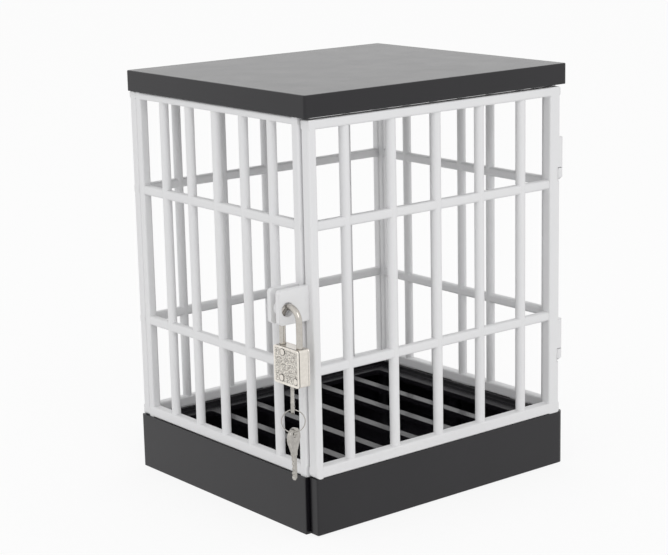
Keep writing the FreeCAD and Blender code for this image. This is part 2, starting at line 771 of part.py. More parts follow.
def coil(axis, u, v, w0, w1, radius, turns):
    """Round wire wound between two planes, in half-turn arcs."""
    pitch = (w1 - w0 - 2 * spring_wire) / turns
    start = w0 + spring_wire

    def at(half_turns):
        angle = math.pi * half_turns
        return on_axis(axis, u + radius * math.cos(angle), v + radius * math.sin(angle),
                       start + pitch * half_turns / 2)

    arcs = [Part.Arc(at(i), at(i + 0.5), at(i + 1)).toShape() for i in range(2 * turns)]
    path = Part.Wire(arcs)
    tangent = arcs[0].tangentAt(arcs[0].FirstParameter)
    section = Part.Wire([Part.makeCircle(spring_wire, at(0), tangent)])
    wound = path.makePipeShell([section], True, False)
    print(f"coil least gap to itself {pitch - 2 * spring_wire:.2f}")
    return wound


def key_in_lock():
    """Key standing in the plug, turned with it."""
    key = key_blank(1)
    key.translate(Vector(lock_x, lock_y, key_bow_z))
    return turned(key, -key_rest_turn, lock_x, lock_y)


def key_ring():
    """Ring through the bow of the key in the lock."""
    ring = Part.makeTorus(ring_radius, ring_wire_radius, Vector(0, 0, 0), Vector(0, 1, 0))
    ring.translate(Vector(lock_x, lock_y, ring_z))
    return turned(ring, -key_rest_turn, lock_x, lock_y)


def spare_key():
    """Second key hanging from the bottom of the ring."""
    key = key_blank(-1)
    key.translate(Vector(lock_x, lock_y, spare_bow_z))
    return turned(key, -key_rest_turn + spare_key_turn, lock_x, lock_y)


# Write every piece
os.makedirs("parts", exist_ok=True)
right = right_wall()
left = mirrored_x(side_wall())
door = door_grille()
save(lid(), "lid")
save(base_tray(), "base_tray")
save(floor_grate(), "floor_grate")
save(left, "left_wall")
save(right, "right_wall")
save(back_wall(), "back_wall")
save(hinge_pin(lower_ear_z), "lower_hinge_pin")
save(hinge_pin(upper_ear_z), "upper_hinge_pin")
save(door, "door_grille")
save(door_kick_panel(), "door_kick_panel")
save(hasp_tab(door_tab_front_y, door_tab_back_y, door_left_x, door), "door_hasp_tab")
save(hasp_tab(wall_tab_front_y, wall_tab_back_y, -wall_outer_x, left), "wall_hasp_tab")
save(shackle(), "shackle")
save(case_core(), "case_core")
save(case_cover(-1), "case_outer_cover")
save(case_cover(1), "case_inner_cover")
save(case_rivets(), "case_rivets")
save(heel_pin(), "heel_pin")
save(lock_plug(), "lock_plug")
save(catch_bolt(), "catch_bolt")
save(coil("z", lock_x, heel_y, heel_hole_bottom_z, heel_end_z, shackle_spring_radius,
          shackle_spring_turns), "shackle_spring")
save(coil("y", lock_x, catch_z + catch_height / 2, lock_y - catch_rear_reach - catch_room,
          lock_y - catch_rear_reach, catch_spring_radius, catch_spring_turns), "catch_spring")
save(key_in_lock(), "key_in_lock")
save(key_ring(), "key_ring")
save(spare_key(), "spare_key")
print(f"hinge axis {hinge_x:.2f} {hinge_y:.2f}")
print(f"shackle hole {tab_hole_x:.2f} {tab_hole_z:.2f} lock middle {lock_y:.2f}")
print(f"ring top {ring_top_z:.2f} ring low {ring_low_z:.2f} heel hole bottom {heel_hole_bottom_z:.2f}")
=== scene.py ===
"""Looks for a small barred lock box: finishes, fine metal pieces, studio and camera."""

import logging
import math
from dataclasses import dataclass
from enum import Enum
from typing import ClassVar

import bmesh
import bpy
from mathutils import Euler, Matrix, Vector

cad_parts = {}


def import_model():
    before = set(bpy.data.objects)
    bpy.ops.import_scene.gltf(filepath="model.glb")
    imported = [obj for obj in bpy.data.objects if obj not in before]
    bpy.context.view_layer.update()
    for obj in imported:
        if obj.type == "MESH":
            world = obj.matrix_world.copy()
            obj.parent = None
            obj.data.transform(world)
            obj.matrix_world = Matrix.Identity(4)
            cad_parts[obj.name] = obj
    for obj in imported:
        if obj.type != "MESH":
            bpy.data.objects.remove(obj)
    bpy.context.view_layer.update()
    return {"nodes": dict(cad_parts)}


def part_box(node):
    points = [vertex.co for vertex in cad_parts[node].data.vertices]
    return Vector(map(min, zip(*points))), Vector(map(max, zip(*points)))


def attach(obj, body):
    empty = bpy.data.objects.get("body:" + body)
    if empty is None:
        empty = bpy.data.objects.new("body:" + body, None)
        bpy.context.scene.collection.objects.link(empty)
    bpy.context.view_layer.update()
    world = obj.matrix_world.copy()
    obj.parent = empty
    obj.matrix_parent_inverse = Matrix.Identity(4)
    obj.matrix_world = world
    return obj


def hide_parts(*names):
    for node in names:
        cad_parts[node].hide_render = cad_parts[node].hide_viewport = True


LOG = logging.getLogger("lock_box")
MM = 0.001
CREASE = math.radians(50)
HAMMERED = "hammered"
RIVET_RIM = "rivet_rim"

Triple = tuple[float, float, float]
Colour = Triple
Range = tuple[float, float]
Socket = bpy.types.NodeSocket


class Slot(Enum):
    """Material slots of the record that finishes belong to."""

    WHITE_PLASTIC = "white_plastic"
    CHARCOAL_PLASTIC = "charcoal_plastic"
    NICKEL = "nickel"
    STEEL = "steel"
    BRASS = "brass"


class Body(Enum):
    """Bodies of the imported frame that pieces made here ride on."""

    PADLOCK_CASE = "padlock_case"
    RING = "ring"


class NodeBuilder:
    """Short calls that add nodes to one tree and join them."""

    def __init__(self, tree: bpy.types.NodeTree) -> None:
        """Work on a tree.

        Args:
            tree: The node tree to add to.
        """
        self.tree = tree

    def add(self, kind: str, **values: object) -> bpy.types.Node:
        """Add a node and set its named properties or inputs.

        Args:
            kind: Blender's class name of the node.
            values: Properties by name, or input values by socket name with underscores.

        Returns:
            The new node.
        """
        node = self.tree.nodes.new(kind)
        for key, value in values.items():
            if hasattr(node, key):
                setattr(node, key, value)
            else:
                node.inputs[key.replace("_", " ")].default_value = value
        return node

    def link(self, source: Socket, target: Socket) -> None:
        """Join two sockets."""
        self.tree.links.new(source, target)

    def feed(self, value: Socket | object, target: Socket) -> None:
        """Give a socket its value.

        Args:
            value: Another socket, or a constant.
            target: The socket that takes it.
        """
        if isinstance(value, Socket):
            self.link(value, target)
        else:
            target.default_value = value

    def maths(self, operation: str, *values: Socket | float) -> Socket:
        """Result of one operation on sockets and numbers.

        Args:
            operation: Blender's name of the operation.
            values: What it works on, in order.

        Returns:
            The result socket.
        """
        node = self.add("ShaderNodeMath", operation=operation)
        for value, target in zip(values, node.inputs):
            self.feed(value, target)
        return node.outputs[0]

    def seen_rays(self) -> Socket:
        """Mark of the rays that show the white surroundings.

        Returns:
            The value socket, 1 for camera, glossy and transmission rays.
        """
        path = self.add("ShaderNodeLightPath")
        seen = self.maths("MAXIMUM", path.outputs["Is Camera Ray"], path.outputs["Is Glossy Ray"])
        return self.maths("MAXIMUM", seen, path.outputs["Is Transmission Ray"])


class ShaderGraph(NodeBuilder):
    """A node material that is being built."""

    EDGE_TURN = (0.99, 0.86)
    WEAR_PATCHES = (0.35, 0.6)
    LEAST_WEAR = 0.15
    OPEN_SKY = (0.92, 0.45)

    def __init__(self, name: str) -> None:
        """Start an empty node material.

        Args:
            name: Name of the new material.
        """
        self.material = bpy.data.materials.new(name)
        self.material.use_nodes = True
        super().__init__(self.material.node_tree)
        self.tree.nodes.clear()
        self.output = self.add("ShaderNodeOutputMaterial")

    def finish(self, shader: Socket) -> bpy.types.Material:
        """Put a shader on the surface.

        Args:
            shader: The shader's output.

        Returns:
            The finished material.
        """
        self.link(shader, self.output.inputs["Surface"])
        return self.material

    def coordinates(self, stretch: Triple = (1, 1, 1)) -> Socket:
        """Object coordinates, stretched along the axes.

        Args:
            stretch: Scale along X, Y and Z.

        Returns:
            The vector socket.
        """
        place = self.add("ShaderNodeTexCoord")
        mapping = self.add("ShaderNodeMapping", Scale=stretch)
        self.link(place.outputs["Object"], mapping.inputs["Vector"])
        return mapping.outputs["Vector"]

    def noise(self, vector: Socket, scale: float, detail: float, roughness: float = 0.5) -> Socket:
        """Noise value on the given coordinates.

        Args:
            vector: Coordinates to read.
            scale: Cells per metre.
            detail: Octaves of the noise.
            roughness: Strength of the finer octaves.

        Returns:
            The value socket.
        """
        node = self.add("ShaderNodeTexNoise", Scale=scale, Detail=detail, Roughness=roughness)
        self.link(vector, node.inputs["Vector"])
        return node.outputs["Fac"]

    def remap(self, value: Socket, low: float, high: float, to_low: float, to_high: float) -> Socket:
        """Value moved from one range to another and held inside it.

        Args:
            value: Socket to read.
            low: Lower end of the range read.
            high: Upper end of the range read.
            to_low: Result at the lower end.
            to_high: Result at the upper end.

        Returns:
            The result socket.
        """
        node = self.add("ShaderNodeMapRange")
        self.link(value, node.inputs["Value"])
        ends = {"From Min": low, "From Max": high, "To Min": to_low, "To Max": to_high}
        for key, number in ends.items():
            node.inputs[key].default_value = number
        return node.outputs["Result"]

    def mix(self, factor: Socket, first: Socket | Colour, second: Socket | Colour) -> Socket:
        """Colour between two colours.

        Args:
            factor: Share of the second colour.
            first: Colour at 0.
            second: Colour at 1.

        Returns:
            The colour socket.
        """
        node = self.add("ShaderNodeMix", data_type="RGBA")
        self.link(factor, node.inputs[0])
        for index, colour in ((6, first), (7, second)):
            self.feed((*colour, 1) if isinstance(colour, tuple) else colour, node.inputs[index])
        return node.outputs[2]

    def relief(self, height: Socket, depth: float, under: Socket) -> Socket:
        """Surface relief from a height value.

        Args:
            height: Height, 0 to 1.
            depth: Depth of the relief in metres.
            under: Normal that the relief is laid over.

        Returns:
            The normal socket.
        """
        node = self.add("ShaderNodeBump", Strength=1.0, Distance=depth)
        self.link(height, node.inputs["Height"])
        self.link(under, node.inputs["Normal"])
        return node.outputs["Normal"]

    def softened_edges(self, radius: float) -> Socket:
        """Normal with edges rounded at the given radius in metres."""
        node = self.add("ShaderNodeBevel", samples=6, Radius=radius)
        return node.outputs["Normal"]

    def rubbed_edges(self, rounded: Socket, patches: Socket) -> Socket:
        """Share of wear: high on edges where handling has rubbed them, 0 on flat faces.

        Args:
            rounded: Normal with the edges rounded.
            patches: Noise that breaks the wear into patches.

        Returns:
            The value socket, 0 to 1.
        """
        geometry = self.add("ShaderNodeNewGeometry")
        turn = self.add("ShaderNodeVectorMath", operation="DOT_PRODUCT")
        self.link(rounded, turn.inputs[0])
        self.link(geometry.outputs["Normal"], turn.inputs[1])
        edge = self.remap(turn.outputs["Value"], *self.EDGE_TURN, 0, 1)
        patchy = self.remap(patches, *self.WEAR_PATCHES, self.LEAST_WEAR, 1)
        return self.maths("MULTIPLY", edge, patchy)

    def crevice_shaded(self, colour: Socket, reach: float, crevice_shade: Colour) -> Socket:
        """Colour with painted shade: darkened by ambient occlusion in seams and round raised pieces.

        Args:
            colour: Colour of the open surface.
            reach: How far from a neighbouring face the painted shade starts, in metres.
            crevice_shade: Colour of the painted shade in the tightest corners.

        Returns:
            The colour socket.
        """
        # Painted shade: ambient occlusion darkens the colour near neighbouring faces.
        open_sky = self.add("ShaderNodeAmbientOcclusion", samples=8, Distance=reach)
        return self.mix(self.remap(open_sky.outputs["AO"], *self.OPEN_SKY, 0, 1), colour, crevice_shade)


@dataclass(frozen=True)
class MouldedPlastic:
    """Injection-moulded plastic with a fine grain, faint flow tones and rubbed edges."""

    name: str
    slot: Slot
    colour: Colour
    tone: Colour
    roughness: float
    grain_scale: float
    grain_depth: float
    rubbed: Colour
    gloss: float = 0.5
    edge_radius: float = 0.35 * MM
    flow_scale: float = 28
    flow_stretch: Triple = (1, 1, 0.35)
    flow_band: Range = (0.3, 0.7)
    smudge_scale: float = 60
    smudge_band: Range = (0.3, 0.7)
    smudge_change: Range = (-0.01, 0.015)

    def build(self) -> bpy.types.Material:
        """Make the material.

        Returns:
            The finished material.
        """
        graph = ShaderGraph(self.name)
        place = graph.coordinates()
        flow = graph.noise(graph.coordinates(self.flow_stretch), self.flow_scale, detail=3)
        grain = graph.noise(place, self.grain_scale, detail=4, roughness=0.6)
        smudge = graph.noise(place, self.smudge_scale, detail=5, roughness=0.6)
        shader = graph.add("ShaderNodeBsdfPrincipled", Specular_IOR_Level=self.gloss)
        edges = graph.softened_edges(self.edge_radius)
        colour = graph.mix(graph.remap(flow, *self.flow_band, 0, 1), self.colour, self.tone)
        worn = graph.mix(graph.rubbed_edges(edges, smudge), colour, self.rubbed)
        smooth, dull = (self.roughness + change for change in self.smudge_change)
        graph.link(worn, shader.inputs["Base Color"])
        graph.link(graph.remap(smudge, *self.smudge_band, smooth, dull), shader.inputs["Roughness"])
        graph.link(graph.relief(grain, self.grain_depth, edges), shader.inputs["Normal"])
        return graph.finish(shader.outputs["BSDF"])


@dataclass(frozen=True)
class PlatedMetal:
    """Plated or bare metal with fine scratches, bright rubbed edges and painted shade in its seams."""

    name: str
    slot: Slot
    colour: Colour
    tone: Colour
    roughness: float
    rubbed: Colour = (0.86, 0.84, 0.80)
    scratch_stretch: Triple = (1, 1, 12)
    scratch_depth: float = 0.004 * MM
    scratch_scale: float = 2600
    scratch_band: Range = (0.25, 0.75)
    scratch_change: Range = (0.88, 1.15)
    cloud_scale: float = 700
    cloud_band: Range = (0.35, 0.65)
    # Colour and reach of the painted shade in seams and round raised pieces.
    crevice_shade: Colour = (0.10, 0.092, 0.08)
    crevice_shade_reach: float = 0.5 * MM
    edge_radius: float = 0.12 * MM

    def build(self) -> bpy.types.Material:
        """Make the material.

        Returns:
            The finished material.
        """
        graph = ShaderGraph(self.name)
        shader = graph.add("ShaderNodeBsdfPrincipled", Metallic=1.0)
        along = graph.coordinates(self.scratch_stretch)
        cloud = graph.noise(graph.coordinates(), self.cloud_scale, detail=4, roughness=0.6)
        scratches = graph.noise(along, self.scratch_scale, detail=3, roughness=0.7)
        edges = graph.softened_edges(self.edge_radius)
        plate = graph.mix(graph.remap(cloud, *self.cloud_band, 0, 1), self.colour, self.tone)
        worn = graph.mix(graph.rubbed_edges(edges, cloud), self.pattern(graph, plate), self.rubbed)
        smooth, dull = (self.roughness * share for share in self.scratch_change)
        # Painted shade darkens the base colour in seams and round raised pieces.
        graph.link(graph.crevice_shaded(worn, self.crevice_shade_reach, self.crevice_shade), shader.inputs["Base Color"])
        worn_to = graph.remap(scratches, *self.scratch_band, smooth, dull)
        graph.link(worn_to, shader.inputs["Roughness"])
        graph.link(graph.relief(scratches, self.scratch_depth, edges), shader.inputs["Normal"])
        return graph.finish(shader.outputs["BSDF"])

    def pattern(self, graph: ShaderGraph, plate: Socket) -> Socket:
        """Colour with the finish's own pattern on it; plain plate has none."""
        return plate


@dataclass(frozen=True)
class HammeredMetal(PlatedMetal):
    """Plate with painted tarnish and shade in the dents of its hammered field, and painted shade round
    its rivets.
    """

    dent_cell: float = 0.38 * MM
    # Colour of the dents: tarnish and painted shade in the hollows of the hammered field.
    dent_tarnish_and_shade: Colour = (0.15, 0.14, 0.125)
    dent_share: float = 0.85
    dent_band: Range = (-0.32, 0.05)
    mottle: float = 1.1
    # Painted shade: a dark ring round each rivet, where its raised edge shades the cover.
    rim_shade: Colour = (0.12, 0.11, 0.10)
    rim_shade_share: float = 0.9
    rim_shade_band: Range = (0.3, 0.9)

    def pattern(self, graph: ShaderGraph, plate: Socket) -> Socket:
        """Paint tarnish and shade into the dents, and painted shade into the rivets' rims, where the
        piece is marked for them.

        Args:
            graph: Material that is being built.
            plate: Colour of the plate.

        Returns:
            The colour socket.
        """
        place = graph.coordinates()
        field_mark = graph.add("ShaderNodeAttribute", attribute_name=HAMMERED)
        rim_mark = graph.add("ShaderNodeAttribute", attribute_name=RIVET_RIM)
        cells = graph.add("ShaderNodeTexVoronoi", feature="SMOOTH_F1", Scale=1 / self.dent_cell)
        graph.link(place, cells.inputs["Vector"])
        speckle = graph.noise(place, 1 / self.dent_cell, detail=3, roughness=0.7)
        mottled = graph.maths("MULTIPLY_ADD", speckle, -self.mottle, cells.outputs["Distance"])
        # Painted tarnish and shade: the hollows of the cell pattern are darkened.
        sunk = graph.remap(mottled, *self.dent_band, self.dent_share, 0)
        dented = graph.mix(graph.maths("MULTIPLY", sunk, field_mark.outputs["Fac"]), plate, self.dent_tarnish_and_shade)
        # Painted shade in the ring that is marked round each rivet.
        rim_shade = graph.remap(rim_mark.outputs["Fac"], *self.rim_shade_band, 0, self.rim_shade_share)
        return graph.mix(rim_shade, dented, self.rim_shade)


class Wardrobe:
    """Builds each finish once and puts it on nodes and pieces."""

    FINISHES: ClassVar[dict[str, MouldedPlastic | PlatedMetal]] = {
        "white": MouldedPlastic(
            "white_moulded_plastic", Slot.WHITE_PLASTIC, (0.80, 0.80, 0.805), (0.78, 0.78, 0.79), 0.42,
            1500, 0.012 * MM, (0.83, 0.83, 0.83),
        ),
        "charcoal": MouldedPlastic(
            "charcoal_moulded_plastic", Slot.CHARCOAL_PLASTIC, (0.008, 0.0073, 0.0095),
            (0.010, 0.009, 0.0115), 0.255, 1700, 0.02 * MM, (0.035, 0.034, 0.037),
            gloss=0.42,
        ),
        "nickel": PlatedMetal(
            "nickel_plate", Slot.NICKEL, (0.74, 0.70, 0.64), (0.79, 0.75, 0.69), 0.2,
        ),
        "hammered_nickel": HammeredMetal(
            "hammered_nickel_plate", Slot.NICKEL, (0.80, 0.76, 0.69), (0.88, 0.84, 0.78), 0.26,
        ),
        "wire": PlatedMetal(
            "plated_wire", Slot.NICKEL, (0.50, 0.475, 0.44), (0.55, 0.525, 0.485), 0.12,
            scratch_stretch=(1, 1, 20),
        ),
        "key_nickel": PlatedMetal(
            "key_nickel_plate", Slot.NICKEL, (0.38, 0.365, 0.34), (0.46, 0.44, 0.41), 0.16,
        ),
        "steel": PlatedMetal(
            "drawn_steel", Slot.STEEL, (0.52, 0.52, 0.53), (0.60, 0.60, 0.61), 0.3, (0.72, 0.72, 0.72),
        ),
        "brass": PlatedMetal(
            "turned_brass", Slot.BRASS, (0.68, 0.52, 0.25), (0.76, 0.60, 0.31), 0.25,
            (0.86, 0.74, 0.44), scratch_stretch=(1, 1, 0.1),
        ),
    }

    def __init__(self) -> None:
        """Start with nothing built."""
        self.built: dict[str, bpy.types.Material] = {}

    def material(self, finish: str) -> bpy.types.Material:
        """Material of a finish, built when first asked for.

        Args:
            finish: Key of the finish.

        Returns:
            The material.
        """
        if finish not in self.built:
            self.built[finish] = self.FINISHES[finish].build()
        return self.built[finish]

    def dress(self, nodes: dict[str, bpy.types.Object], finishes: dict[str, str]) -> None:
        """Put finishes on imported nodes.

        Args:
            nodes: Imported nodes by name.
            finishes: Key of the finish for each node's name.
        """
        for name, finish in finishes.items():
            nodes[name].data.materials.clear()
            nodes[name].data.materials.append(self.material(finish))
            report(nodes[name])


class GeometryTree(NodeBuilder):
    """A Geometry Nodes tree that is being built, and run on a new object at the end."""

    def __init__(self, name: str) -> None:
        """Start a tree with a geometry input and output.

        Args:
            name: Name of the tree and of the piece it makes.
        """
        super().__init__(bpy.data.node_groups.new(name, "GeometryNodeTree"))
        self.name = name
        for way in ("INPUT", "OUTPUT"):
            self.tree.interface.new_socket("Geometry", in_out=way, socket_type="NodeSocketGeometry")
        self.entry = self.add("NodeGroupInput")
        self.exit = self.add("NodeGroupOutput")
        self.values: dict[str, float] = {}

    def size(self, name: str, value: float) -> Socket:
        """Named size of the tree, in metres.

        Args:
            name: Name of the input.
            value: Its value.

        Returns:
            The socket that gives it.
        """
        item = self.tree.interface.new_socket(name, in_out="INPUT", socket_type="NodeSocketFloat")
        self.values[item.identifier] = value
        return self.entry.outputs[name]

    def vector(self, **parts: Socket) -> Socket:
        """Vector made of parts, and 0 elsewhere.

        Args:
            parts: Sockets by axis letter.

        Returns:
            The vector socket.
        """
        node = self.add("ShaderNodeCombineXYZ")
        for axis, value in parts.items():
            self.link(value, node.inputs[axis])
        return node.outputs["Vector"]

    def vector_maths(self, operation: str, *values: object) -> bpy.types.Node:
        """Node with the result of one operation on vectors.

        Args:
            operation: Blender's name of the operation.
            values: Sockets or vectors that it works on, in order.

        Returns:
            The node.
        """
        node = self.add("ShaderNodeVectorMath", operation=operation)
        for value, target in zip(values, node.inputs):
            self.feed(value, target)
        return node

    def make(
        self, geometry: Socket, material: bpy.types.Material, base: bpy.types.Mesh | None = None
    ) -> bpy.types.Object:
        """Finish the tree, run it and keep its result as a plain mesh.

        Args:
            geometry: Socket with the finished geometry.
            material: Material of the piece.
            base: Mesh that the tree starts from, if it needs one.

        Returns:
            The finished object, at the origin.
        """
        realize = self.add("GeometryNodeRealizeInstances")
        dress = self.add("GeometryNodeSetMaterial", Material=material)
        self.link(geometry, realize.inputs["Geometry"])
        self.link(realize.outputs["Geometry"], dress.inputs["Geometry"])
        self.link(dress.outputs["Geometry"], self.exit.inputs["Geometry"])
        holder = bpy.data.objects.new(self.name, base or bpy.data.meshes.new(self.name))
        bpy.context.scene.collection.objects.link(holder)
        modifier = holder.modifiers.new(self.name, "NODES")
        modifier.node_group = self.tree
        for identifier, value in self.values.items():
            modifier[identifier] = value
        graph = bpy.context.evaluated_depsgraph_get()
        mesh = bpy.data.meshes.new_from_object(holder.evaluated_get(graph))
        holder.modifiers.remove(modifier)
        holder.data = mesh
        mesh.name = self.name
        if not mesh.materials:
            mesh.materials.append(material)
        return holder


def report(piece: bpy.types.Object) -> None:
    """Write a piece's name and face count to the log."""
    LOG.info("%s: %d faces", piece.name, len(piece.data.polygons))


@dataclass
class Cage:
    """Fixed part of the box: lid, base, floor grate, walls and hinge pins."""

    wardrobe: Wardrobe
    FINISHES: ClassVar[dict[str, str]] = {
        "lid": "charcoal",
        "base_tray": "charcoal",
        "floor_grate": "charcoal",
        "left_wall": "white",
        "right_wall": "white",
        "back_wall": "white",
        "wall_hasp_tab": "white",
        "lower_hinge_pin": "steel",
        "upper_hinge_pin": "steel",
    }

    def build(self, nodes: dict[str, bpy.types.Object]) -> None:
        """Dress the cage's nodes.

        Args:
            nodes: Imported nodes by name.
        """
        self.wardrobe.dress(nodes, self.FINISHES)


@dataclass
class Door:
    """Barred door leaf with its kick panel and hasp tab."""

    wardrobe: Wardrobe
    FINISHES: ClassVar[dict[str, str]] = {
        "door_grille": "white",
        "door_hasp_tab": "white",
        "door_kick_panel": "charcoal",
    }

    def build(self, nodes: dict[str, bpy.types.Object]) -> None:
        """Dress the door's nodes.

        Args:
            nodes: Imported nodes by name.
        """
        self.wardrobe.dress(nodes, self.FINISHES)


@dataclass
class Padlock:
    """Hanging padlock: shackle, riveted case, plug and catch."""

    wardrobe: Wardrobe
    corner: float = 1.2 * MM
    border: float = 0.9 * MM
    recess: float = 0.2 * MM
    edge_round: float = 0.2 * MM
    round_share: float = 0.3
    seam: float = 0.34 * MM
    middle_gap: float = 0.01 * MM
    merge_distance: float = 0.002 * MM
    field_step: float = 0.14 * MM
    hammer_cell: float = 0.45 * MM
    hammer_depth: float = 0.14 * MM
    hammer_level: float = 0.85
    hammer_smoothness: float = 0.6
    rivet_radius: float = 1.3 * MM
    rivet_edge: float = 0.08 * MM
    rim_width: float = 0.38 * MM
    rim_depth: float = 0.12 * MM
    rivet_offsets: tuple[tuple[float, float], ...] = (
        (-5.9 * MM, 2.6 * MM), (3.2 * MM, 2.6 * MM), (2.35 * MM, 13.5 * MM),
    )
    FINISHES: ClassVar[dict[str, str]] = {
        "shackle": "wire",
        "case_core": "nickel",
        "case_outer_cover": "hammered_nickel",
        "case_inner_cover": "hammered_nickel",
        "case_rivets": "nickel",
        "heel_pin": "steel",
        "lock_plug": "brass",
        "catch_bolt": "brass",
        "shackle_spring": "steel",
        "catch_spring": "steel",
    }

    def outline(
        self, low: Vector, high: Vector, inset: float, x: float, corner_points: int = 8,
        side_points: int = 32,
    ) -> list[Vector]:
        """Points round the cover's outline, moved inwards by an inset.

        Args:
            low: Lowest corner of the cover.
            high: Highest corner of the cover.
            inset: Distance inwards from the cover's edge.
            x: Level of the points.
            corner_points: Points on each corner's arc.
            side_points: Points between two corners.

        Returns:
            The points in order, as many for every inset.
        """
        radius = max(self.corner - inset, 0.0)
        spans = []
        for y, z, start in (
            (high.y, high.z, 0), (low.y, high.z, 90), (low.y, low.z, 180), (high.y, low.z, 270),
        ):
            inward_y = -1 if y == high.y else 1
            inward_z = -1 if z == high.z else 1
            centre_y = y + inward_y * (inset + radius)
            centre_z = z + inward_z * (inset + radius)
            arc = []
            for i in range(corner_points):
                angle = math.radians(start + 90 * i / (corner_points - 1))
                along, up = radius * math.cos(angle), radius * math.sin(angle)
                arc.append(Vector((x, centre_y + along, centre_z + up)))
            spans.append(arc)
        points = []
        for arc, following in zip(spans, spans[1:] + spans[:1]):
            points.extend(arc)
            for i in range(1, side_points):
                points.append(arc[-1].lerp(following[0], i / side_points))
        return points

    def cover_blank(self, name: str, low: Vector, high: Vector, side: int) -> bpy.types.Mesh:
        """Plate with a rounded edge, a raised border and a fine smooth field.

        Args:
            name: Name of the mesh.
            low: Lowest corner of the cover.
            high: Highest corner of the cover.
            side: -1 where the cover faces -X, 1 where it faces +X.

        Returns:
            The mesh, with the hammered field and the rivets' rims marked by attributes.
        """
        back, face = (high.x, low.x) if side < 0 else (low.x, high.x)
        floor = face - side * self.recess
        limit = min(high.y - low.y, high.z - low.z) / 2 - self.middle_gap
        profile = [
            (self.seam, back),
            (0.0, back + side * self.seam),
            (0.0, face - side * self.edge_round),
            (self.edge_round * self.round_share, face - side * self.edge_round * self.round_share),
            (self.edge_round, face),
            (self.border - self.edge_round, face),
        ]
        inset = self.border
        while inset < limit:
            profile.append((inset, floor))
            inset += self.field_step
        profile.append((limit, floor))
        centre_y = (low.y + high.y) / 2
        spots = [(centre_y + y, low.z + z) for y, z in self.rivet_offsets]
        shape = bmesh.new()
        mark = shape.verts.layers.float.new(HAMMERED)
        rim_shade = shape.verts.layers.float.new(RIVET_RIM)
        rings = []
        for inset, x in profile:
            ring = [shape.verts.new(point) for point in self.outline(low, high, inset, x)]
            for vertex in ring:
                reach = min(math.hypot(vertex.co.y - y, vertex.co.z - z) for y, z in spots)
                # The ring round each rivet is sunk a little and marked for painted shade.
                if x == floor and reach < self.rivet_radius + self.rim_width:
                    vertex[rim_shade] = 1.0
                    vertex.co.x -= side * self.rim_depth
                elif inset > self.border + self.field_step / 2:
                    vertex[mark] = 1.0
            rings.append(ring)
        for first, second in zip(rings, rings[1:]):
            for i in range(len(first)):
                j = (i + 1) % len(first)
                shape.faces.new((first[i], first[j], second[j], second[i]))
        shape.faces.new(rings[0])
        shape.faces.new(rings[-1])
        bmesh.ops.remove_doubles(shape, verts=shape.verts, dist=self.merge_distance)
        bmesh.ops.recalc_face_normals(shape, faces=shape.faces)
        mesh = bpy.data.meshes.new(name)
        shape.to_mesh(mesh)
        shape.free()
        return mesh

    def hammered_cover(self, node: str, side: int) -> bpy.types.Object:
        """Cover plate with a hammered field inside its raised border.

        Args:
            node: Packed cover that the piece stands for.
            side: -1 where the cover faces -X, 1 where it faces +X.

        Returns:
            The cover, riding on the padlock's case.
        """
        low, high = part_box(node)
        name = f"hammered_{node}"
        tree = GeometryTree(name)
        depth = tree.size("Hammer Depth", self.hammer_depth)
        cell = tree.size("Hammer Cell", self.hammer_cell)
        mark = tree.add("GeometryNodeInputNamedAttribute", data_type="FLOAT", Name=HAMMERED)
        place = tree.add("GeometryNodeInputPosition")
        dents = tree.add(
            "ShaderNodeTexVoronoi", feature="SMOOTH_F1", Smoothness=self.hammer_smoothness,
            Randomness=1.0,
        )
        tree.link(place.outputs["Position"], dents.inputs["Vector"])
        tree.link(tree.maths("DIVIDE", 1.0, cell), dents.inputs["Scale"])
        sunk = tree.maths("SUBTRACT", dents.outputs["Distance"], self.hammer_level)
        held = tree.maths("MULTIPLY", sunk, mark.outputs["Attribute"])
        push = tree.maths("MULTIPLY", tree.maths("MULTIPLY", held, depth), side)
        move = tree.add("GeometryNodeSetPosition")
        tree.link(tree.entry.outputs["Geometry"], move.inputs["Geometry"])
        tree.link(tree.vector(X=push), move.inputs["Offset"])
        blank = self.cover_blank(name, low, high, side)
        cover = tree.make(move.outputs["Geometry"], self.wardrobe.material("hammered_nickel"), blank)
        cover.data.shade_smooth()
        cover.data.set_sharp_from_angle(angle=CREASE)
        self.fit(cover, node)
        return cover

    def rivet_heads(self) -> bpy.types.Object:
        """Low domed rivet heads on both covers.

        Returns:
            All the heads as one piece, riding on the padlock's case.
        """
        core_low, core_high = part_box("case_core")
        low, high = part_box("case_rivets")
        cover_low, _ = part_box("case_outer_cover")
        middle = (core_low + core_high) / 2
        seat = middle.x - cover_low.x - self.recess
        dome = high.x - middle.x - seat
        spots = bpy.data.meshes.new("rivet_spots")
        spots.from_pydata(
            [
                (middle.x + side * seat, middle.y + y, core_low.z + z)
                for side in (-1, 1)
                for y, z in self.rivet_offsets
            ],
            [],
            [],
        )
        tree = GeometryTree("rivet_heads")
        radius = tree.size("Head Radius", self.rivet_radius)
        height = tree.size("Dome Height", dome - self.rivet_edge)
        edge = tree.size("Edge Height", self.rivet_edge * 2)
        head = tree.add(
            "GeometryNodeMeshCylinder", fill_type="TRIANGLE_FAN", Vertices=28, Side_Segments=1,
            Fill_Segments=6,
        )
        tree.link(radius, head.inputs["Radius"])
        tree.link(edge, head.inputs["Depth"])
        place = tree.add("GeometryNodeInputPosition")
        parts = tree.add("ShaderNodeSeparateXYZ")
        tree.link(place.outputs["Position"], parts.inputs["Vector"])
        flat = tree.vector(X=parts.outputs["X"], Y=parts.outputs["Y"])
        reach = tree.vector_maths("LENGTH", flat).outputs["Value"]
        square = tree.maths("POWER", tree.maths("DIVIDE", reach, radius), 2.0)
        rise = tree.maths("MULTIPLY", tree.maths("SUBTRACT", 1.0, square), height)
        above = tree.add("FunctionNodeCompare", data_type="FLOAT", operation="GREATER_THAN")
